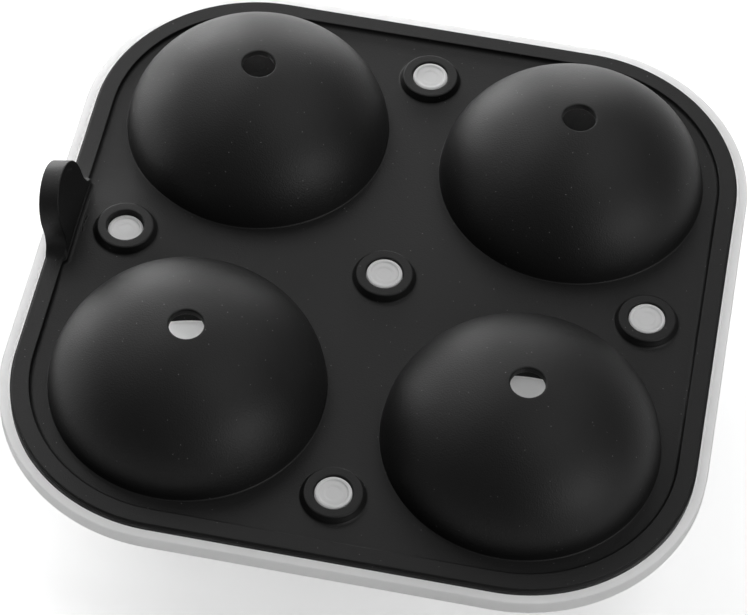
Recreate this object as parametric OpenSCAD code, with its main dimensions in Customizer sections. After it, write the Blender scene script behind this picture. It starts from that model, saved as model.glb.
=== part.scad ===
// Ice ball mold: a rigid tray of bowls, a soft domed lid and the pegs that hold the lid in place.
// Millimetres, +Z up, origin on the ground under the middle of the tray, pull tab on the -X side.

/* [Ball] */
// Diameter of the ice ball
ball_d = 60; // [45:1:75]
// Gap between neighbouring balls
ball_gap = 14.6; // [12:0.2:30]

/* [Lid] */
// Thickness of the silicone at the top of each dome
dome_wall = 1.8; // [1.2:0.1:3]
// Thickness of the silicone at the foot of each dome
foot_wall = 2.2; // [1.5:0.1:3.5]
// Height of the lid's plate above the ball centres
plate_rise = 9.5; // [7:0.1:13]
// Thickness of the lid's plate
plate_t = 2.3; // [1.5:0.1:4.5]
// From the foot of a dome to the edge of the lid
edge_margin = 8.1; // [6:0.1:15]
// Width of the raised rim
rim_w = 4.25; // [3:0.05:5.5]
// Height of the rim above the plate
rim_rise = 1.2; // [0.5:0.1:4]
// Diameter of the fill hole at the top of each dome
fill_d = 7.6; // [5:0.1:14]
// How far the lid's sealing collar reaches below the ball centre
collar_drop = 7.8; // [1:0.1:10]
// Thickness of that collar
collar_wall = 1.2; // [0.8:0.1:1.6]
// Height of the ring boss around each peg
boss_h = 2; // [1.2:0.1:6]
// Wall of the ring boss
boss_wall = 2.2; // [1.5:0.1:4]
// Bevel on the top edge of the ring boss
boss_bevel = 0.5; // [0.2:0.1:1]

/* [Pull tab] */
// Width of the pull tab
tab_w = 17.8; // [12:0.2:40]
// Height of the pull tab's straight sides above the rim, below its half-round end
tab_side = 7.2; // [0.5:0.1:12]
// Thickness of the pull tab
tab_t = 4; // [2:0.1:4.1]
// Outward lean of the pull tab in degrees
tab_lean = 9; // [0:0.5:20]
// How far the tab's outer face lies inside the lid's edge
tab_inset = 0.2; // [0.1:0.1:1]

/* [Tray] */
// Wall of the bowls
bowl_wall = 1.2; // [1:0.1:2.4]
// Height of the taper from the collar's socket to the round bowl
taper_h = 4; // [2:0.1:8]
// Floor under each ball, down to the foot pad's face
floor_t = 2; // [1.8:0.1:5]
// Diameter of the flat foot pad under each bowl
pad_d = 16; // [8:0.5:26]
// Thickness of the deck that the lid lies on
deck_t = 1.6; // [1.2:0.1:4.5]
// Height of the tray's edge above the deck
edge_h = 2.45; // [1.5:0.05:6]
// Thickness of the tray's edge
edge_t = 2.1; // [1.2:0.1:4]
// Bevel along the underside of the tray's edge
edge_bevel = 0.4; // [0.2:0.1:1]

/* [Pegs] */
// Diameter of a peg
peg_d = 8.2; // [6.6:0.1:11]
// From the line of ball centres out to a side peg
peg_out = 22.7; // [18:0.1:26]
// How far a peg's top lies below the top of its boss
peg_sink = 0.2; // [0:0.1:1.5]
// Bevel on the peg's top edge
peg_bevel = 0.5; // [0.2:0.1:0.9]
// Diameter of the shallow dish in the peg's top
dish_d = 5.6; // [2:0.1:6]
// Depth of that dish
dish_depth = 0.3; // [0.1:0.1:0.8]
// Depth of a peg's seat below the deck
seat_depth = 4.4; // [2.5:0.1:8]
// Wall round and under the seat
seat_wall = 1.6; // [1:0.1:3]

/* [Clearances] */
// Gap between the lid's edge and the tray's edge
lid_clear = 0.4; // [0.1:0.05:0.6]
// Gap round and under the lid's collars
collar_clear = 0.3; // [0.1:0.05:0.6]
// Gap between a peg and its boss
peg_clear = 0.3; // [0.1:0.05:0.6]
// Gap between a peg and its press-in seat
seat_clear = 0.02; // [0.01:0.01:0.05]

/* [Hidden] */

$fn = 96;
overlap = 0.5;

ball_r = ball_d / 2;
ball_pitch = ball_d + ball_gap;
dome_r = sqrt(pow(ball_r, 2) - pow(plate_rise, 2)) + foot_wall;
dome_h = ball_r + dome_wall - plate_rise;
collar_r = ball_r + collar_wall;
bowl_r = ball_r + bowl_wall;

// Levels, from the ground up
ball_z = ball_r + floor_t;
plate_top = ball_z + plate_rise;
deck_top = plate_top - plate_t;
deck_bottom = deck_top - deck_t;
rim_top = plate_top + rim_rise;
edge_top = deck_top + edge_h;
boss_top = plate_top + boss_h;
peg_top = boss_top - peg_sink;
seat_z = deck_bottom - seat_depth;
collar_bottom = ball_z - collar_drop;
ledge_z = collar_bottom - collar_clear;

// Plan sizes: the corners run concentric with the balls
lid_corner = dome_r + edge_margin;
tray_corner = lid_corner + lid_clear + edge_t;
pan_corner = lid_corner + lid_clear;
socket_r = collar_r + collar_clear;
shell_r = socket_r + bowl_wall;
peg_r = peg_d / 2;
bore_r = peg_r + peg_clear;
boss_r = bore_r + boss_wall;
hub_r = peg_r + seat_clear + seat_wall;
peg_reach = ball_pitch / 2 + peg_out;
tab_x = ball_pitch / 2 + lid_corner - tab_inset - tab_t / 2;
tab_root = rim_rise + overlap;

module at_balls() {
    for (sx = [-1, 1], sy = [-1, 1])
        translate([sx * ball_pitch / 2, sy * ball_pitch / 2, 0])
            children();
}

module at_pegs() {
    for (place = [[0, 0], [0, -1], [0, 1], [-1, 0], [1, 0]])
        translate([place[0] * peg_reach, place[1] * peg_reach, 0])
            children();
}

// Square with round corners centred on the balls
module plan(corner) {
    square([ball_pitch + 2 * corner, ball_pitch], center = true);
    square([ball_pitch, ball_pitch + 2 * corner], center = true);
    at_balls()
        circle(corner);
}

module slab(corner, bottom, top) {
    translate([0, 0, bottom])
        linear_extrude(top - bottom)
            plan(corner);
}

// Disc with a bevelled top edge
module bevelled_disc(r, bottom, top, bevel) {
    translate([0, 0, bottom])
        cylinder(h = top - bevel - bottom, r = r);
    translate([0, 0, top - bevel])
        cylinder(h = bevel, r1 = r, r2 = r - bevel);
}

// Plug that is straight above the ball's middle and follows the ball below it, down to a flat end
module plug(r, bottom, top) {
    translate([0, 0, ball_z]) {
        cylinder(h = top - ball_z, r = r);
        intersection() {
            sphere(r);
            translate([-r, -r, bottom - ball_z])
                cube([2 * r, 2 * r, ball_z - bottom]);
        }
    }
}

// Outside of one bowl: socket for the lid's collar, a taper, the round bowl and its foot pad
module bowl_outside() {
    taper_top = ledge_z - bowl_wall / 2;
    taper_bottom = taper_top - taper_h;
    shell_low_r = sqrt(pow(shell_r, 2) - pow(ball_z - taper_top, 2));
    taper_r = sqrt(pow(bowl_r, 2) - pow(ball_z - taper_bottom, 2)) - overlap / 4;
    plug(shell_r, taper_top, deck_bottom + overlap);
    translate([0, 0, taper_bottom])
        cylinder(h = taper_h, r1 = taper_r, r2 = shell_low_r);
    translate([0, 0, ball_z])
        intersection() {
            sphere(bowl_r);
            translate([-bowl_r, -bowl_r, taper_top - overlap - ball_z - 2 * bowl_r])
                cube(2 * bowl_r);
        }
    cylinder(h = floor_t, d = pad_d);
}

// Inside of one bowl: the ball's lower half below the collar's socket
module bowl_inside() {
    translate([0, 0, ball_z])
        sphere(ball_r);
    plug(socket_r, ledge_z, edge_top);
}

module base_tray() {
    color("Gainsboro")
        difference() {
            union() {
                slab(tray_corner, deck_bottom + edge_bevel, edge_top);
                slab(tray_corner - edge_bevel, deck_bottom, deck_top);
                at_balls()
                    bowl_outside();
                at_pegs()
                    translate([0, 0, seat_z - seat_wall])
                        cylinder(h = seat_depth + seat_wall + overlap, r = hub_r);
            }
            slab(pan_corner, deck_top, edge_top + overlap);
            at_balls()
                bowl_inside();
            at_pegs()
                translate([0, 0, seat_z])
                    cylinder(h = deck_top + overlap - seat_z, r = peg_r + seat_clear);
        }
}

// Half-round tongue that carries the rim's line up and leans outward
module pull_tab() {
    translate([-tab_x, 0, rim_top])
        rotate([0, -tab_lean, 0])
            rotate([90, 0, 90])
                translate([0, 0, -tab_t / 2])
                    linear_extrude(tab_t) {
                        translate([-tab_w / 2, -tab_root])
                            square([tab_w, tab_root + tab_side]);
                        translate([0, tab_side])
                            intersection() {
                                circle(d = tab_w);
                                translate([-tab_w / 2, -overlap])
                                    square([tab_w, tab_w]);
                            }
                    }
}

// Outside of one dome: half an ellipsoid that stands on the plate, rooted a little way into it
module dome_outside() {
    translate([0, 0, plate_top]) {
        intersection() {
            scale([1, 1, dome_h / dome_r])
                sphere(dome_r);
            translate([-dome_r, -dome_r, 0])
                cube(2 * dome_r);
        }
        translate([0, 0, -overlap])
            cylinder(h = overlap, r = dome_r);
    }
}

module silicone_lid() {
    color("#222222")
        difference() {
            union() {
                slab(lid_corner, deck_top, plate_top);
                difference() {
                    slab(lid_corner, plate_top - overlap, rim_top);
                    slab(lid_corner - rim_w, plate_top - 2 * overlap, rim_top + overlap);
                }
                pull_tab();
                at_balls() {
                    dome_outside();
                    plug(collar_r, collar_bottom, deck_top + overlap);
                }
                at_pegs()
                    bevelled_disc(boss_r, plate_top - overlap, boss_top, boss_bevel);
            }
            at_balls() {
                translate([0, 0, ball_z])
                    sphere(ball_r);
                translate([0, 0, ball_z])
                    cylinder(h = plate_rise + dome_h + overlap, d = fill_d);
            }
            at_pegs()
                translate([0, 0, deck_top - overlap])
                    cylinder(h = boss_top - deck_top + 2 * overlap, r = bore_r);
        }
}

// Round stud pressed into the deck, with a shallow dish in its top
module peg(place) {
    color("WhiteSmoke")
        translate([place[0] * peg_reach, place[1] * peg_reach, 0])
            difference() {
                bevelled_disc(peg_r, seat_z, peg_top, peg_bevel);
                translate([0, 0, peg_top - dish_depth])
                    cylinder(h = dish_depth + overlap, d = dish_d);
            }
}

base_tray();
silicone_lid();
peg([0, 0]);  // center_peg
peg([0, -1]);  // front_peg
peg([0, 1]);  // back_peg
peg([-1, 0]);  // left_peg
peg([1, 0]);  // right_peg
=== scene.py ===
import math
import bmesh
import bpy
from mathutils import Matrix, Vector


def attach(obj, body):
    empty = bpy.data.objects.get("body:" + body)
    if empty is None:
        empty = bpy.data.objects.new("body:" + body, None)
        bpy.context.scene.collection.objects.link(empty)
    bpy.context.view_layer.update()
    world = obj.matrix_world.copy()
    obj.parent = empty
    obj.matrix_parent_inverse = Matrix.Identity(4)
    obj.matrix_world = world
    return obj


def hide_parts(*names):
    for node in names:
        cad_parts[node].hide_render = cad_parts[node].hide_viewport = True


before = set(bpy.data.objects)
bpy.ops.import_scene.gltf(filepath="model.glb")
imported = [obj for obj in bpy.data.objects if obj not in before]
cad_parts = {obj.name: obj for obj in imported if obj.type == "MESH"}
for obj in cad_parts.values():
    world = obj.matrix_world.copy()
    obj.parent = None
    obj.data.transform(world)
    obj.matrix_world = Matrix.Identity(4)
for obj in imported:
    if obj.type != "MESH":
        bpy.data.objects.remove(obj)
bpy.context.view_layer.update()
mm = 0.001
print("frame loaded:", len(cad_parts), "nodes")

scene = bpy.context.scene
scene.view_settings.view_transform = "Standard"


# An sRGB hex value as linear colour
def linearColour(code):
    parts = [int(code[i:i + 2], 16) / 255 for i in (1, 3, 5)]
    return tuple(v / 12.92 if v <= 0.04045 else ((v + 0.055) / 1.055) ** 2.4 for v in parts) + (1,)


def addNode(tree, kind, sockets=None, **settings):
    node = tree.nodes.new(kind)
    for name, value in settings.items():
        setattr(node, name, value)
    for key, value in (sockets or {}).items():
        if isinstance(value, bpy.types.NodeSocket):
            tree.links.new(value, node.inputs[key])
        else:
            node.inputs[key].default_value = value
    return node


def newMaterial(name):
    material = bpy.data.materials.new(name)
    material.use_nodes = True
    material.node_tree.nodes.clear()
    return material, material.node_tree


# Camera: where the photo was taken from, in mm and degrees
cameraPlace = {
    "target": (-0.53, -10.03, 43.3),
    "azimuth": 7.9,
    "elevation": 53.72,
    "roll": 3.385,
    "distance": 656.2,
    "focalPixels": 2928.5,
    "imageWidth": 748,
    "sensorWidth": 36,
    "clipStart": 10,
}


def placeCamera(c):
    a, e, r = (math.radians(c[k]) for k in ("azimuth", "elevation", "roll"))
    back = Vector((math.sin(a) * math.cos(e), -math.cos(a) * math.cos(e), math.sin(e)))
    right = Vector((math.cos(a), math.sin(a), 0))
    up = back.cross(right)
    side = right * math.cos(r) + up * math.sin(r)
    top = up * math.cos(r) - right * math.sin(r)
    eye = (Vector(c["target"]) + back * c["distance"]) * mm
    data = bpy.data.cameras.new("photoCamera")
    data.sensor_fit = "HORIZONTAL"
    data.sensor_width = c["sensorWidth"]
    data.lens = c["focalPixels"] / c["imageWidth"] * c["sensorWidth"]
    data.clip_start = c["clipStart"] * mm
    camera = bpy.data.objects.new("photoCamera", data)
    camera.matrix_world = Matrix.Translation(eye) @ Matrix((side, top, back)).transposed().to_4x4()
    scene.collection.objects.link(camera)
    scene.camera = camera


placeCamera(cameraPlace)
print("camera placed")

# Silicone rubber, compression moulded in a blasted tool: black with a soft sheen, a fine matt grain
# and stray dust; sizes in mm
siliconeLook = {
    "dark": "#111111",
    "light": "#161616",
    "cloudSize": 14,
    "roughness": (0.46, 0.54),
    "ior": 1.41,
    "specularLevel": 0.296,
    "grainSize": 0.35,  # coarser than a blasted tool's grain, so that it shows
    "grainHeight": 0.06,
    "grainStrength": 0.9,
    "dustColour": "#8a8a8a",
    "dustCover": 0.5,
    "dustCell": 1.7,
    "dustEdge": (0.05, 0.07),  # from a speck's middle, in cells
    "dustShare": 0.5,  # of the cells that have a speck
}


def moldedSilicone(c):
    material, tree = newMaterial("moldedSilicone")
    place = addNode(tree, "ShaderNodeTexCoord").outputs["Object"]
    cloudy = addNode(tree, "ShaderNodeTexNoise", {"Vector": place, "Scale": 1 / (c["cloudSize"] * mm),
                                                  "Detail": 3})
    tone = addNode(tree, "ShaderNodeMix", {"Factor": cloudy.outputs["Fac"], "A": linearColour(c["dark"]),
                                           "B": linearColour(c["light"])}, data_type="RGBA")
    # dust: a speck in some of the cells
    cells = addNode(tree, "ShaderNodeTexVoronoi", {"Vector": place, "Scale": 1 / (c["dustCell"] * mm),
                                                   "Randomness": 1.0})
    pick = addNode(tree, "ShaderNodeSeparateColor", {"Color": cells.outputs["Color"]})
    near = addNode(tree, "ShaderNodeMapRange", {"Value": cells.outputs["Distance"],
                                                "From Min": c["dustEdge"][0], "From Max": c["dustEdge"][1],
                                                "To Min": 1.0, "To Max": 0.0})
    some = addNode(tree, "ShaderNodeMath", {0: pick.outputs["Red"], 1: 1 - c["dustShare"]},
                   operation="GREATER_THAN")
    speck = addNode(tree, "ShaderNodeMath", {0: near.outputs["Result"], 1: some.outputs["Value"]},
                    operation="MULTIPLY")
    faint = addNode(tree, "ShaderNodeMath", {0: speck.outputs["Value"], 1: c["dustCover"]},
                    operation="MULTIPLY")
    colour = addNode(tree, "ShaderNodeMix", {"Factor": faint.outputs["Value"], "A": tone.outputs["Result"],
                                             "B": linearColour(c["dustColour"])}, data_type="RGBA")
    rough = addNode(tree, "ShaderNodeMapRange", {"Value": cloudy.outputs["Fac"],
                                                 "To Min": c["roughness"][0], "To Max": c["roughness"][1]})
    grain = addNode(tree, "ShaderNodeTexNoise", {"Vector": place, "Scale": 1 / (c["grainSize"] * mm),
                                                 "Detail": 2})
    bump = addNode(tree, "ShaderNodeBump", {"Height": grain.outputs["Fac"], "Strength": c["grainStrength"],
                                            "Distance": c["grainHeight"] * mm})
    shader = addNode(tree, "ShaderNodeBsdfPrincipled", {"Base Color": colour.outputs["Result"],
                                                        "Roughness": rough.outputs["Result"],
                                                        "IOR": c["ior"],
                                                        "Specular IOR Level": c["specularLevel"],
                                                        "Normal": bump.outputs["Normal"]})
    addNode(tree, "ShaderNodeOutputMaterial", {"Surface": shader.outputs["BSDF"]})
    return material


# Polypropylene, injection moulded and left satin: soft highlights, faint flow clouds, and milky where light
# comes through the wall; sizes in mm
polypropyleneLook = {
    "flowSize": 22,
    "flowBend": 0.6,
    "roughness": (0.26, 0.36),
    "ior": 1.49,
    "satinSize": 0.3,  # coarser than the tool's texture, so that it shows
    "satinHeight": 0.02,
    "satinStrength": 0.12,
}
trayTint = {"dark": "#f1f1f1", "light": "#f7f7f7", "milky": 0.79}
pegTint = {"dark": "#eeeeee", "light": "#f4f4f4", "milky": 0.5}


def moldedPolypropylene(name, c, tint):
    material, tree = newMaterial(name)
    place = addNode(tree, "ShaderNodeTexCoord").outputs["Object"]
    flow = addNode(tree, "ShaderNodeTexNoise", {"Vector": place, "Scale": 1 / (c["flowSize"] * mm),
                                                "Detail": 2, "Distortion": c["flowBend"]})
    colour = addNode(tree, "ShaderNodeMix", {"Factor": flow.outputs["Fac"], "A": linearColour(tint["dark"]),
                                             "B": linearColour(tint["light"])}, data_type="RGBA")
    rough = addNode(tree, "ShaderNodeMapRange", {"Value": flow.outputs["Fac"],
                                                 "To Min": c["roughness"][0], "To Max": c["roughness"][1]})
    satin = addNode(tree, "ShaderNodeTexNoise", {"Vector": place, "Scale": 1 / (c["satinSize"] * mm),
                                                 "Detail": 2})
    bump = addNode(tree, "ShaderNodeBump", {"Height": satin.outputs["Fac"], "Strength": c["satinStrength"],
                                            "Distance": c["satinHeight"] * mm})
    shader = addNode(tree, "ShaderNodeBsdfPrincipled", {"Base Color": colour.outputs["Result"],
                                                        "Roughness": rough.outputs["Result"],
                                                        "IOR": c["ior"],
                                                        "Normal": bump.outputs["Normal"]})
    through = addNode(tree, "ShaderNodeBsdfTranslucent", {"Color": colour.outputs["Result"],
                                                          "Normal": bump.outputs["Normal"]})
    both = addNode(tree, "ShaderNodeMixShader", {0: tint["milky"], 1: shader.outputs["BSDF"],
                                                 2: through.outputs["BSDF"]})
    addNode(tree, "ShaderNodeOutputMaterial", {"Surface": both.outputs["Shader"]})
    return material


silicone = moldedSilicone(siliconeLook)
trayPlastic = moldedPolypropylene("moldedPolypropyleneGrey", polypropyleneLook, trayTint)
pegPlastic = moldedPolypropylene("moldedPolypropylenePale", polypropyleneLook, pegTint)
print("materials made")

# What the pieces share, in mm: the balls, the plan whose corners run round them, and the pegs' places
moldSizes = {
    "ballRadius": 30.0,
    "ballZ": 32.0,
    "ballPitch": 74.6,
    "pegReach": 60,
    "cornerSteps": 40,
    "sideSteps": 16,
}
halfPitch = moldSizes["ballPitch"] / 2
pegReach = moldSizes["pegReach"]
ballPlaces = [(sx * halfPitch, sy * halfPitch) for sx in (-1, 1) for sy in (-1, 1)]
pegPlaces = {"center_peg": (0, 0), "front_peg": (0, -pegReach), "back_peg": (0, pegReach),
             "left_peg": (-pegReach, 0), "right_peg": (pegReach, 0)}
weldGap = 0.002 * mm
flatSlack = 0.001 * mm


# Profiles are lists of (radius, height) in mm, walked with the solid on the right hand
def arc(cx, cz, radius, start, end, steps):
    turns = [math.radians(start + (end - start) * i / steps) for i in range(steps + 1)]
    return [(cx + radius * math.cos(t), cz + radius * math.sin(t)) for t in turns]


def quarterTurn(steps):
    return [math.radians(90 * i / steps) for i in range(steps + 1)]


# Turn up from level of the point at one height on a ball
def turnAt(radius, height):
    return math.degrees(math.asin(height / radius))


# Distance from the axis of the point at one height on a ball, or the height at one distance
def reachAt(radius, height):
    return math.sqrt(radius ** 2 - height ** 2)


def heading(p, q):
    return math.atan2(q[1] - p[1], q[0] - p[0])


# Adds a point close to each end of a long straight run that meets a bend, so that its shading stays flat
def braced(profile, gap=0.15, bend=6):
    out = [profile[0]]
    for i in range(1, len(profile)):
        p, q = profile[i - 1], profile[i]
        length = math.dist(p, q)
        if length > 4 * gap:
            ux, uz = (q[0] - p[0]) / length, (q[1] - p[1]) / length
            turnIn = turnOut = 0
            if i > 1:
                turnIn = abs(math.remainder(heading(p, q) - heading(profile[i - 2], p), math.tau))
            if i < len(profile) - 1:
                turnOut = abs(math.remainder(heading(q, profile[i + 1]) - heading(p, q), math.tau))
            if turnIn > math.radians(bend):
                out.append((p[0] + ux * gap, p[1] + uz * gap))
            if turnOut > math.radians(bend):
                out.append((q[0] - ux * gap, q[1] - uz * gap))
        out.append(q)
    return out


def newInput(tree, name, kind):
    return tree.interface.new_socket(name, in_out="INPUT", socket_type=kind)


# Turns a profile round an upright axis at each place
def turningTree():
    tree = bpy.data.node_groups.new("turnedAtPlaces", "GeometryNodeTree")
    newInput(tree, "Geometry", "NodeSocketGeometry")
    newInput(tree, "Profile", "NodeSocketObject")
    newInput(tree, "Places", "NodeSocketObject")
    newInput(tree, "Core Radius", "NodeSocketFloat")
    newInput(tree, "Segments", "NodeSocketInt")
    newInput(tree, "Finish", "NodeSocketMaterial")
    tree.interface.new_socket("Geometry", in_out="OUTPUT", socket_type="NodeSocketGeometry")
    given = addNode(tree, "NodeGroupInput").outputs
    profile = addNode(tree, "GeometryNodeObjectInfo", {"Object": given["Profile"]})
    places = addNode(tree, "GeometryNodeObjectInfo", {"Object": given["Places"]})
    circle = addNode(tree, "GeometryNodeCurvePrimitiveCircle", {"Resolution": given["Segments"],
                                                                "Radius": given["Core Radius"]})
    turned = addNode(tree, "GeometryNodeCurveToMesh", {"Curve": circle.outputs["Curve"],
                                                       "Profile Curve": profile.outputs["Geometry"]})
    spread = addNode(tree, "GeometryNodeInstanceOnPoints", {"Points": places.outputs["Geometry"],
                                                            "Instance": turned.outputs["Mesh"]})
    real = addNode(tree, "GeometryNodeRealizeInstances", {"Geometry": spread.outputs["Instances"]})
    welded = addNode(tree, "GeometryNodeMergeByDistance", {"Geometry": real.outputs["Geometry"],
                                                           "Distance": weldGap})
    finished = addNode(tree, "GeometryNodeSetMaterial", {"Geometry": welded.outputs["Geometry"],
                                                         "Material": given["Finish"]})
    addNode(tree, "NodeGroupOutput", {"Geometry": finished.outputs["Geometry"]})
    return tree


# Carries a profile round the rounded square of the mold's plan
def edgeTree():
    tree = bpy.data.node_groups.new("edgeAlongPlan", "GeometryNodeTree")
    newInput(tree, "Geometry", "NodeSocketGeometry")
    newInput(tree, "Profile", "NodeSocketObject")
    newInput(tree, "Plan", "NodeSocketObject")
    newInput(tree, "Finish", "NodeSocketMaterial")
    tree.interface.new_socket("Geometry", in_out="OUTPUT", socket_type="NodeSocketGeometry")
    given = addNode(tree, "NodeGroupInput").outputs
    profile = addNode(tree, "GeometryNodeObjectInfo", {"Object": given["Profile"]})
    plan = addNode(tree, "GeometryNodeObjectInfo", {"Object": given["Plan"]})
    swept = addNode(tree, "GeometryNodeCurveToMesh", {"Curve": plan.outputs["Geometry"],
                                                      "Profile Curve": profile.outputs["Geometry"]})
    real = addNode(tree, "GeometryNodeRealizeInstances", {"Geometry": swept.outputs["Mesh"]})
    finished = addNode(tree, "GeometryNodeSetMaterial", {"Geometry": real.outputs["Geometry"],
                                                         "Material": given["Finish"]})
    addNode(tree, "NodeGroupOutput", {"Geometry": finished.outputs["Geometry"]})
    return tree


turningNodes = turningTree()
edgeNodes = edgeTree()


def lineObject(points, closed=False):
    data = bpy.data.curves.new("line", "CURVE")
    data.dimensions = "3D"
    spline = data.splines.new("POLY")
    spline.points.add(len(points) - 1)
    for point, p in zip(spline.points, points):
        point.co = (p[0] * mm, p[1] * mm, 0, 1)
    spline.use_cyclic_u = closed
    line = bpy.data.objects.new("line", data)
    scene.collection.objects.link(line)
    return line


def evaluatedMesh(tree, inputs, helpers):
    holder = bpy.data.objects.new("holder", bpy.data.meshes.new("holder"))
    scene.collection.objects.link(holder)
    modifier = holder.modifiers.new("shape", "NODES")
    modifier.node_group = tree
    for item in tree.interface.items_tree:
        if item.in_out == "INPUT" and item.name in inputs:
            modifier[item.identifier] = inputs[item.name]
    graph = bpy.context.evaluated_depsgraph_get()
    mesh = bpy.data.meshes.new_from_object(holder.evaluated_get(graph), depsgraph=graph)
    for helper in [holder, *helpers]:
        bpy.data.objects.remove(helper)
    return mesh


# The core is the circle that carries the profile
def turnedMesh(profile, places, segments, finish, core=1.0):
    line = lineObject([(r - core, -z) for r, z in braced(profile)])
    spots = bpy.data.meshes.new("spots")
    spots.from_pydata([(x * mm, y * mm, 0) for x, y in places], [], [])
    marks = bpy.data.objects.new("marks", spots)
    scene.collection.objects.link(marks)
    return evaluatedMesh(turningNodes, {"Profile": line, "Places": marks, "Core Radius": core * mm,
                                        "Segments": segments, "Finish": finish}, [line, marks])


# Stations round the plan, counter-clockwise: (point on the square of ball centres, outward direction)
def planStations(c):
    half = c["ballPitch"] / 2
    out = []
    for corner, (sx, sy) in enumerate(((1, 1), (-1, 1), (-1, -1), (1, -1))):
        for i in range(c["cornerSteps"] + 1):
            t = math.radians(90 * corner + 90 * i / c["cornerSteps"])
            out.append((Vector((sx * half, sy * half)), Vector((math.cos(t), math.sin(t)))))
        t = math.radians(90 * corner + 90)
        n = Vector((round(math.cos(t)), round(math.sin(t))))
        along = Vector((-n.y, n.x))
        for i in range(1, c["sideSteps"]):
            out.append((n * half + along * (half * (2 * i / c["sideSteps"] - 1)), n))
    return out


# Here the core is the plan at one distance from the ball centres
def edgeMesh(profile, finish, core=38.0):
    line = lineObject([(c - core, -z) for c, z in braced(profile)])
    path = lineObject([b + n * core for b, n in planStations(moldSizes)], closed=True)
    return evaluatedMesh(edgeNodes, {"Profile": line, "Plan": path, "Finish": finish}, [line, path])


# Fills the flat between the open loops at one height
def fillFlat(bm, z, up):
    rims = [e for e in bm.edges if e.is_boundary and all(abs(v.co.z - z * mm) < flatSlack for v in e.verts)]
    bmesh.ops.triangle_fill(bm, use_beauty=True, edges=rims, normal=(0, 0, up))


def finishPiece(bm, name, finish):
    bmesh.ops.remove_doubles(bm, verts=bm.verts, dist=weldGap)
    bmesh.ops.dissolve_degenerate(bm, edges=bm.edges, dist=flatSlack)
    bmesh.ops.recalc_face_normals(bm, faces=bm.faces)
    for face in bm.faces:
        face.smooth = True
        face.material_index = 0
    openEdges = sum(1 for e in bm.edges if not e.is_manifold)
    mesh = bpy.data.meshes.new(name)
    bm.to_mesh(mesh)
    bm.free()
    mesh.materials.clear()
    mesh.materials.append(finish)
    piece = bpy.data.objects.new(name, mesh)
    scene.collection.objects.link(piece)
    print(name, len(mesh.polygons), "faces,", openEdges, "open edges")
    return piece


# Tray: bowls, deck, upstanding edge, peg seats and foot pads; a lap is how far a form reaches onto a flat
traySizes = {
    "deckTop": 39.2,
    "deckBottom": 37.6,
    "edgeTop": 41.65,
    "panCorner": 39.16,
    "panFillet": 0.5,
    "outerCorner": 41.25,
    "innerRound": 0.2,
    "edgeRound": 0.35,
    "footRound": 0.4,
    "edgeLap": 2.4,
    "socketRadius": 31.5,
    "socketRound": 0.6,
    "socketLap": 0.8,
    "ledgeZ": 23.9,
    "ledgeRound": 0.3,
    "shellRadius": 32.7,
    "shellFillet": 1.0,
    "shellLap": 2.2,
    "taperTop": 23.3,
    "taperTopCut": (0.35, 0.4),
    "taperBottom": 19.3,
    "taperFootCut": (0.25, 0.3),
    "bowlRadius": 31.2,
    "bowlTrims": (1, 0.3),  # degrees, at the taper and at the pad
    "bowlSegments": 96,
    "padRadius": 8.0,
    "padFillet": 0.15,
    "padRound": 0.5,
    "padFlat": 3,
    "seatRadius": 4.12,
    "seatZ": 33.2,
    "seatRound": 0.3,
    "seatLap": 0.9,
    "seatSegments": 40,
    "hubRadius": 5.72,
    "hubBottom": 31.6,
    "hubFillet": 0.8,
    "hubRound": 0.5,
    "hubFlat": 2.0,
}


def bowlInside(c):
    z0, ball, socket = moldSizes["ballZ"], moldSizes["ballRadius"], c["socketRadius"]
    ledge, k, f = c["ledgeZ"], c["ledgeRound"], c["socketRound"]
    return (arc(0, z0, ball, -90, turnAt(ball, ledge - z0), 34)
            + [(reachAt(ball, ledge - z0) + k, ledge), (reachAt(socket, ledge - z0) - k, ledge)]
            + arc(0, z0, socket, turnAt(socket, ledge + k - z0), 0, 10)
            + arc(socket + f, c["deckTop"] - f, f, 180, 90, 5)
            + [(socket + f + c["socketLap"], c["deckTop"])])


def bowlOutside(c):
    z0, shell, bowl, pad = moldSizes["ballZ"], c["shellRadius"], c["bowlRadius"], c["padRadius"]
    under, f, p = c["deckBottom"], c["shellFillet"], c["padRound"]
    topIn, topDown = c["taperTopCut"]
    footOut, footUp = c["taperFootCut"]
    taperTrim, padTrim = c["bowlTrims"]
    steep = turnAt(bowl, c["taperBottom"] - z0)
    padTop = z0 - reachAt(bowl, pad)
    return ([(shell + c["shellLap"], under)]
            + arc(shell + f, under - f, f, 90, 180, 6)
            + arc(0, z0, shell, 0, turnAt(shell, c["taperTop"] + topDown - z0), 10)
            + [(reachAt(shell, c["taperTop"] - z0) - topIn, c["taperTop"] - topDown)]
            + [(reachAt(bowl, c["taperBottom"] - z0) + footOut, c["taperBottom"] + footUp)]
            + arc(0, z0, bowl, steep - taperTrim, turnAt(bowl, padTop - z0) + padTrim, 26)
            + [(pad, padTop - c["padFillet"])]
            + arc(pad - p, p, p, 0, -90, 4)
            + [(pad - c["padFlat"], 0), (0, 0)])


def pegSeat(c):
    seat, s = c["seatRadius"], c["seatRound"]
    return ([(0, c["seatZ"]), (seat - s, c["seatZ"])]
            + arc(seat - s, c["seatZ"] + s, s, -90, 0, 3)[1:]
            + arc(seat + s, c["deckTop"] - s, s, 180, 90, 3)
            + [(seat + c["seatLap"], c["deckTop"])])


def seatHub(c):
    hub, f, r = c["hubRadius"], c["hubFillet"], c["hubRound"]
    return ([(hub + 2 * f, c["deckBottom"])]
            + arc(hub + f, c["deckBottom"] - f, f, 90, 180, 5)
            + arc(hub - r, c["hubBottom"] + r, r, 0, -90, 4)
            + [(c["hubFlat"], c["hubBottom"]), (0, c["hubBottom"])])


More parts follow.
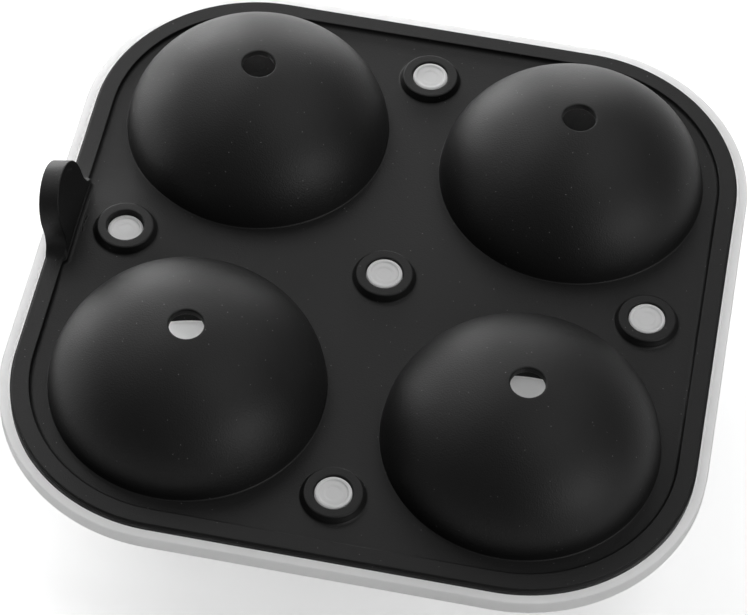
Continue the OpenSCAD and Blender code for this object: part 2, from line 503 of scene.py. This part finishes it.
def trayEdge(c):
    pan, outer = c["panCorner"], c["outerCorner"]
    f, q, r, b = c["panFillet"], c["innerRound"], c["edgeRound"], c["footRound"]
    return ([(pan - c["edgeLap"], c["deckTop"])]
            + arc(pan - f, c["deckTop"] + f, f, -90, 0, 5)
            + arc(pan + q, c["edgeTop"] - q, q, 180, 90, 6)
            + arc(outer - r, c["edgeTop"] - r, r, 90, 0, 10)
            + arc(outer - b, c["deckBottom"] + b, b, 0, -90, 7)
            + [(pan - c["edgeLap"], c["deckBottom"])])


def trayPiece(c):
    bm = bmesh.new()
    for profile in (bowlInside(c), bowlOutside(c)):
        bm.from_mesh(turnedMesh(profile, ballPlaces, c["bowlSegments"], trayPlastic))
    for profile in (pegSeat(c), seatHub(c)):
        bm.from_mesh(turnedMesh(profile, pegPlaces.values(), c["seatSegments"], trayPlastic))
    bm.from_mesh(edgeMesh(trayEdge(c), trayPlastic))
    fillFlat(bm, c["deckTop"], 1)
    fillFlat(bm, c["deckBottom"], -1)
    return finishPiece(bm, "bowlTray", trayPlastic)


tray = trayPiece(traySizes)
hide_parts("base_tray")
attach(tray, "tray")

# Lid: plate, raised rim with the pull tab, domes with fill holes and collars, ring bosses; a brace is a
# point that keeps the shading of a straight run flat
lidSizes = {
    "plateTop": 41.5,
    "underside": 39.25,
    "domeRadius": 30.65,
    "domeHeight": 22.3,
    "backFullness": 1.85,
    "frontFullness": 1.94,
    "domeFillet": 0.3,
    "domeLaps": (0.15, 0.8),
    "domeShifts": {(False, True): (0.2, 0.5), (True, True): (0, 0.3),
                   (False, False): (0.3, -0.2), (True, False): (-0.16, 0.05)},
    "domeSegments": 128,
    "skinSteps": 48,
    "fillRadius": 3.8,
    "fillRound": 0.35,
    "collarRadius": 31.15,
    "collarBottom": 24.2,
    "collarFillet": 0.5,
    "collarLap": 1.6,
    "collarCuts": (0.3, 0.2),  # outside and inside
    "collarCutRise": 0.3,
    "lidCorner": 38.75,
    "rimTop": 42.7,
    "rimInner": 34.5,
    "rimRound": 0.2,
    "rimEdge": 0.2,
    "rimFoot": 0.9,
    "rimLaps": (0.35, 0.12),
    "lipWidth": 0.45,
    "lipDrop": 0.6,
    "lipFoot": (0.06, 0.08),
    "lipRound": 0.15,
    "lipBrace": 0.27,
    "skirtBraces": (0.6, 0.62),  # below the plate's top and above the underside
    "skirtRound": 0.5,
    "skirtLaps": (0.65, 1.4),
    "bossTop": 43.4,
    "bossRadius": 6.6,
    "bossRound": 0.5,
    "bossDraft": 0.4,
    "bossFillet": 0.6,
    "bossLapStep": 0.6,
    "bossLapSteps": 4,
    "bossSegments": 64,
    "boreRadius": 4.25,
    "boreRound": 0.3,
    "boreLap": 1.2,
    "bossLift": 1.4,
    "liftSpread": 7.0,
    "liftFrom": 0.3,
}
tabSizes = {
    "outerX": -75.95,
    "middleY": 0.4,
    "halfWidth": 8.75,
    "side": 6.5,
    "rootThickness": 5.0,
    "draft": 0.03,
    "lean": 10.0,
    "edgeRound": 0.3,
    "edgeLeast": 0.02,  # rounding at the foot, which grows with the height
    "edgeGrowth": 0.5,
    "aimShare": 0.6,  # of the straight side's height: where the edge's rounding aims
    "blendHeight": 1.0,
    "footFillet": 4.0,
    "stationGap": 1.0,
    "footSteps": 6,
    "sideSteps": 4,
    "roundSteps": 20,
    "edgeSteps": 5,
    "faceRows": 8,
}


# Half the tab's outline, from its foot on the rim to its top:
# (distance from the middle, height above the rim)
def tabOutline(t):
    w, f, s = t["halfWidth"], t["footFillet"], t["side"]
    foot = [(w + f - f * math.sin(a), f - f * math.cos(a)) for a in quarterTurn(t["footSteps"])]
    side = [(w, f + (s - f) * i / t["sideSteps"]) for i in range(1, t["sideSteps"] + 1)]
    top = [(w * math.cos(a), s + w * math.sin(a)) for a in quarterTurn(t["roundSteps"])[1:]]
    return foot + side + top


def facesLeft(n):
    return n.x < -0.999


# The plan's stations, with the tab's own in place of those at its foot; the third value is the point of the
# tab's outline, or None on the plain rim
def rimStations(t):
    outline = tabOutline(t)
    middle, reach = t["middleY"], outline[0][0]
    whole = [(middle + y, h) for y, h in outline] + [(middle - y, h) for y, h in reversed(outline[:-1])]
    plain = [(base, n, None) for base, n in planStations(moldSizes)
             if not (facesLeft(n) and abs(base.y - middle) < reach + t["stationGap"])]
    # the left side is walked from +Y to -Y
    spot = max(i for i, (base, n, _) in enumerate(plain) if facesLeft(n) and base.y > reach) + 1
    tab = [(Vector((-halfPitch, middle + reach - 2 * reach * i / (len(whole) - 1))), Vector((-1, 0)), point)
           for i, point in enumerate(whole)]
    return plain[:spot] + tab + plain[spot:]


def smooth(v):
    v = min(max(v, 0), 1)
    return v * v * (3 - 2 * v)


def placed(base, n, points):
    return [Vector((*(base + n * d), z)) for d, z in points]


# One column of points over the tab: up its inner face, round its edge and down its outer face
def tabColumn(base, y, h, c, t):
    rows, root = t["faceRows"], t["rootThickness"]
    lean = math.radians(t["lean"])
    up = Vector((-math.sin(lean), 0, math.cos(lean)))
    side = Vector((math.cos(lean), 0, math.sin(lean)))
    origin = Vector((t["outerX"], 0, c["rimTop"]))
    e = min(t["edgeRound"], t["edgeGrowth"] * h + t["edgeLeast"])
    # the outline point pulled in by the edge's rounding, towards the tab's middle
    aim = Vector((y, h))
    inward = (Vector((t["middleY"], t["side"] * t["aimShare"])) - aim).normalized()
    face = [Vector((base.y, 0)).lerp(aim + inward * e, i / (rows - 1)) for i in range(rows)]
    turns = [(aim + inward * (e - e * math.sin(a)), e - e * math.cos(a))
             for a in quarterTurn(t["edgeSteps"])[1:]]
    thick = root - t["draft"] * h
    shape = ([(p, root - t["draft"] * p.y) for p in face]
             + [(p, thick - w) for p, w in turns] + [(aim, thick / 2)]
             + list(reversed(turns)) + [(p, 0) for p in reversed(face)])
    return [origin + Vector((0, p.x, 0)) + up * p.y + side * w for p, w in shape]


# One column of points over the rim, from the plate's top to the lid's underside
def rimColumn(station, c, t):
    base, n, point = station
    part = 0 if point is None else smooth(point[1] / t["blendHeight"])
    inner, outer = c["rimInner"], c["lidCorner"]
    # under the tab the rim widens inward to the tab's thickness
    inner += part * min(0, -halfPitch - t["outerX"] - t["rootThickness"] - inner)
    f, r, e, lip = c["rimFoot"], c["rimRound"], c["rimEdge"], c["lipWidth"]
    wall = ([(inner - f - lap, c["plateTop"]) for lap in c["rimLaps"]]
            + arc(inner - f, c["plateTop"] + f, f, -90, 0, 8)
            + arc(inner + r, c["rimTop"] - r, r, 180, 90, 4))
    lipTop = c["rimTop"] - c["lipDrop"]
    footOut, footUp = c["lipFoot"]
    q, s = c["lipRound"], c["skirtRound"]
    topBrace, lowBrace = c["skirtBraces"]
    skirt = (arc(outer - lip - e, c["rimTop"] - e, e, 90, 0, 5)
             + [(outer - lip, lipTop + footUp), (outer - lip + footOut, lipTop)]
             + arc(outer - q, lipTop - q, q, 90, 0, 3)
             + [(outer, lipTop - c["lipBrace"])]
             + [(outer, c["plateTop"] - topBrace), (outer, c["underside"] + lowBrace)]
             + arc(outer - s, c["underside"] + s, s, 0, -90, 4)
             + [(outer - lap, c["underside"]) for lap in c["skirtLaps"]])
    count = 2 * (t["faceRows"] + t["edgeSteps"]) + 1
    span = outer - lip - e - inner - r
    flat = [(inner + r + span * (i + 1) / (count + 1), c["rimTop"]) for i in range(count)]
    crown = placed(base, n, flat)
    if point is not None:
        crown = [a.lerp(b, part) for a, b in zip(crown, tabColumn(base, *point, c, t))]
    return placed(base, n, wall) + crown + placed(base, n, skirt)


def rimMesh(bm, c, t):
    columns = [[bm.verts.new(p * mm) for p in rimColumn(s, c, t)] for s in rimStations(t)]
    for a, b in zip(columns, columns[1:] + columns[:1]):
        for i in range(len(a) - 1):
            bm.faces.new((a[i], b[i], b[i + 1], a[i + 1]))


# Point and outward direction on a dome, by its turn up from the plate; fullness 2 would be a plain ellipse
def domePoint(c, n, turn):
    a, b = c["domeRadius"], c["domeHeight"]
    x, z = max(math.cos(turn), 0) ** (2 / n), max(math.sin(turn), 0) ** (2 / n)
    out = Vector((x ** (n - 1) / a, z ** (n - 1) / b)).normalized()
    return Vector((a * x, c["plateTop"] + b * z)), out


# The turn at which the rounding of the fill hole's edge leaves the dome, found by halving
def holeTurn(c, n):
    low, high = math.radians(45), math.radians(90)
    for _ in range(40):
        turn = (low + high) / 2
        point, out = domePoint(c, n, turn)
        outside = point.x - c["fillRound"] * out.x > c["fillRadius"] + c["fillRound"]
        low, high = (turn, high) if outside else (low, turn)
    return turn


# Round the wall of one dome, from the lid's underside down the collar, up inside and down to the plate
def domeProfile(c, n):
    z0, ball, collar = moldSizes["ballZ"], moldSizes["ballRadius"], c["collarRadius"]
    f, s, g = c["domeFillet"], c["fillRound"], c["collarFillet"]
    steps = c["skinSteps"]
    first, last = holeTurn(c, n), math.asin((f / c["domeHeight"]) ** (n / 2))
    point, out = domePoint(c, n, first)
    top = point - out * s
    topAngle = math.degrees(math.atan2(out.y, out.x))
    skin = [tuple(domePoint(c, n, first + (last - first) * i / steps)[0]) for i in range(steps + 1)]
    foot = skin[-1][0] + f
    lowZ = z0 + math.sqrt((ball + s) ** 2 - top.x ** 2)
    lowAngle = math.degrees(math.atan2(lowZ - z0, top.x))
    low = c["collarBottom"] + c["collarCutRise"] - z0
    cutOut, cutIn = c["collarCuts"]
    return ([(collar + c["collarLap"], c["underside"])]
            + arc(collar + g, c["underside"] - g, g, 90, 180, 4)
            + arc(0, z0, collar, 0, turnAt(collar, low), 10)
            + [(reachAt(collar, low) - cutOut, c["collarBottom"])]
            + [(reachAt(ball, low) + cutIn, c["collarBottom"])]
            + arc(0, z0, ball, turnAt(ball, low), lowAngle, 40)
            + arc(top.x, lowZ, s, 180 + lowAngle, 180, 4)[1:]
            + arc(top.x, top.y, s, 180, topAngle, 4)
            + skin[1:]
            + arc(foot, c["plateTop"] + f, f, 180, 270, 5)[1:]
            + [(foot + lap, c["plateTop"]) for lap in c["domeLaps"]])


def bossProfile(c):
    bore, q, b, g = c["boreRadius"], c["boreRound"], c["bossRound"], c["bossFillet"]
    base = c["bossRadius"] + c["bossDraft"] + g
    return ([(bore + c["boreLap"], c["underside"])]
            + arc(bore + q, c["underside"] + q, q, 270, 180, 3)
            + arc(bore + q, c["bossTop"] - q, q, 180, 90, 4)
            + arc(c["bossRadius"] - b, c["bossTop"] - b, b, 90, 0, 5)
            + arc(base, c["plateTop"] + g, g, 180, 270, 5)
            + [(base + c["bossLapStep"] * i, c["plateTop"]) for i in range(1, c["bossLapSteps"] + 1)])


def lidPiece(c, t):
    bm = bmesh.new()
    for fullness, side in ((c["backFullness"], 1), (c["frontFullness"], -1)):
        places = [place for place in ballPlaces if place[1] * side > 0]
        bm.from_mesh(turnedMesh(domeProfile(c, fullness), places, c["domeSegments"], silicone))
    # the soft domes sit a little off their bowls
    for v in bm.verts:
        dx, dy = c["domeShifts"][(v.co.x > 0, v.co.y > 0)]
        part = smooth((v.co.z / mm - c["underside"]) / (c["plateTop"] - c["underside"])) * mm
        v.co.x += dx * part
        v.co.y += dy * part
    bm.from_mesh(turnedMesh(bossProfile(c), pegPlaces.values(), c["bossSegments"], silicone))
    rimMesh(bm, c, t)
    fillFlat(bm, c["plateTop"], 1)
    fillFlat(bm, c["underside"], -1)
    # the soft lid stands a little proud round the peg beside the tab
    lx, ly = pegPlaces["left_peg"]
    for v in bm.verts:
        d = math.hypot(v.co.x / mm - lx, v.co.y / mm - ly) - c["boreRadius"]
        if v.co.z > (c["underside"] + c["liftFrom"]) * mm and d < 4 * c["liftSpread"]:
            v.co.z += c["bossLift"] * mm * math.exp(-0.5 * (max(d, 0) / c["liftSpread"]) ** 2)
    return finishPiece(bm, "domedLid", silicone)


lid = lidPiece(lidSizes, tabSizes)
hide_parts("silicone_lid")
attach(lid, "lid")

# Pegs: round studs with a stepped dish in the top, its floor left in fine turned rings
pegSizes = {
    "radius": 4.1,
    "top": 43.3,
    "bottom": 33.2,
    "topRound": 0.5,
    "bottomRound": 0.3,
    "bottomFlat": 1.5,
    "dishRadius": 3.25,
    "dishDepth": 0.3,
    "dishEdge": 0.05,
    "dishFoot": (0.2, 0.08),
    "dimpleRadius": 1.85,
    "dimpleDepth": 0.15,
    "ringPitch": 0.5,
    "ringDepth": 0.07,
    "ringMargin": 0.3,
    "segments": 56,
}


def pegPiece(name, place, c):
    dish, top, e, r, b = c["dishRadius"], c["top"], c["dishEdge"], c["topRound"], c["bottomRound"]
    floor = top - c["dishDepth"]
    deep = floor - c["dimpleDepth"]
    footIn, footUp = c["dishFoot"]
    step = c["ringPitch"] / 2
    rings = [(i * step, (deep if i * step < c["dimpleRadius"] else floor) - c["ringDepth"] * (i % 2))
             for i in range(int((dish - c["ringMargin"]) / step) + 1)]
    profile = (rings
               + [(dish - footIn, floor), (dish - e, floor + footUp), (dish, top - e), (dish + e, top)]
               + arc(c["radius"] - r, top - r, r, 90, 0, 5)
               + arc(c["radius"] - b, c["bottom"] + b, b, 0, -90, 3)
               + [(c["bottomFlat"], c["bottom"]), (0, c["bottom"])])
    bm = bmesh.new()
    bm.from_mesh(turnedMesh(profile, [place], c["segments"], pegPlastic))
    return finishPiece(bm, name, pegPlastic)


for node, place in pegPlaces.items():
    side = node.split("_")[0]
    stud = pegPiece(side + "Stud", place, pegSizes)
    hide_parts(node)
    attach(stud, "tray")
print("pieces made")

# Laminate, pressed matt: white and even, and it spreads any reflection wide
laminateLook = {
    "dark": "#f4f4f4",
    "light": "#f7f7f7",
    "cloudSize": 160,
    "roughness": 0.5,
    "ior": 1.5,
    "glow": 0.36,
}


def mattLaminate(c):
    material, tree = newMaterial("mattLaminate")
    place = addNode(tree, "ShaderNodeTexCoord").outputs["Object"]
    cloudy = addNode(tree, "ShaderNodeTexNoise", {"Vector": place, "Scale": 1 / (c["cloudSize"] * mm),
                                                  "Detail": 2})
    colour = addNode(tree, "ShaderNodeMix", {"Factor": cloudy.outputs["Fac"], "A": linearColour(c["dark"]),
                                             "B": linearColour(c["light"])}, data_type="RGBA")
    shader = addNode(tree, "ShaderNodeBsdfPrincipled", {"Base Color": colour.outputs["Result"],
                                                        "Roughness": c["roughness"], "IOR": c["ior"]})
    # the glow is seen directly and in reflections, and lights no matt surface
    path = addNode(tree, "ShaderNodeLightPath").outputs
    seen = addNode(tree, "ShaderNodeMath", {0: path["Is Camera Ray"], 1: path["Is Glossy Ray"]},
                   operation="MAXIMUM")
    seenToo = addNode(tree, "ShaderNodeMath", {0: seen.outputs["Value"], 1: path["Is Transmission Ray"]},
                      operation="MAXIMUM")
    level = addNode(tree, "ShaderNodeMath", {0: seenToo.outputs["Value"], 1: c["glow"]},
                    operation="MULTIPLY")
    glow = addNode(tree, "ShaderNodeEmission", {"Color": (1, 1, 1, 1), "Strength": level.outputs["Value"]})
    both = addNode(tree, "ShaderNodeAddShader", {0: shader.outputs["BSDF"], 1: glow.outputs["Emission"]})
    addNode(tree, "ShaderNodeOutputMaterial", {"Surface": both.outputs["Shader"]})
    return material


# Table: flat round the mold, and sweeping up far away; mm and degrees
tableSizes = {"flat": 6000, "rise": 3000, "sweep": 60, "segments": 96}


def tableTop(c):
    flat, rise = c["flat"], c["rise"]
    profile = [(0, 0), (flat / 2, 0)] + arc(flat, rise, rise, -90, c["sweep"] - 90, 12)
    mesh = turnedMesh(profile, [(0, 0)], c["segments"], mattLaminate(laminateLook))
    table = bpy.data.objects.new("tableTop", mesh)
    scene.collection.objects.link(table)


tableTop(tableSizes)

# Lamps: softboxes by compass turn from the back, height angle, distance and size in mm, and watts
lamps = [
    {"name": "backLow", "turn": 0, "height": 8, "distance": 500, "size": 230, "power": 0.57},
    {"name": "backLeftLow", "turn": -30, "height": 8, "distance": 500, "size": 230, "power": 1.0},
    {"name": "leftBackLow", "turn": -60, "height": 8, "distance": 500, "size": 230, "power": 0.76},
    {"name": "leftLow", "turn": -90, "height": 8, "distance": 500, "size": 230, "power": 0.26},
    {"name": "backHigh", "turn": 0, "height": 45, "distance": 500, "size": 230, "power": 0.34},
    {"name": "backRightHigh", "turn": 45, "height": 50, "distance": 500, "size": 230, "power": 0.24},
    {"name": "backLeftHigh", "turn": -45, "height": 50, "distance": 500, "size": 230, "power": 0.7},
    {"name": "leftHigh", "turn": -90, "height": 50, "distance": 500, "size": 230, "power": 0.24},
    {"name": "rightFront", "turn": 120, "height": 28, "distance": 3000, "size": 1385, "power": 38.5},
    {"name": "rightTop", "turn": 90, "height": 72, "distance": 3000, "size": 1385, "power": 17.2},
]
lampAimHeight = 45


def placeLamps(items):
    aim = Vector((0, 0, lampAimHeight * mm))
    for item in items:
        t, h = math.radians(item["turn"]), math.radians(item["height"])
        way = Vector((math.sin(t) * math.cos(h), math.cos(t) * math.cos(h), math.sin(h)))
        data = bpy.data.lights.new(item["name"], "AREA")
        data.shape = "DISK"
        data.size = item["size"] * mm
        data.energy = item["power"]
        lamp = bpy.data.objects.new(item["name"], data)
        lamp.matrix_world = (Matrix.Translation(aim + way * item["distance"] * mm)
                             @ way.to_track_quat("Z", "Y").to_matrix().to_4x4())
        scene.collection.objects.link(lamp)


placeLamps(lamps)

# Room: a dim even fill
roomFill = 0.058


def roomLight(strength):
    world = bpy.data.worlds.new("studioRoom")
    scene.world = world
    world.use_nodes = True
    world.node_tree.nodes.clear()
    shine = addNode(world.node_tree, "ShaderNodeBackground", {"Color": (1, 1, 1, 1), "Strength": strength})
    addNode(world.node_tree, "ShaderNodeOutputWorld", {"Surface": shine.outputs["Background"]})


roomLight(roomFill)
print("table, lamps and room set")
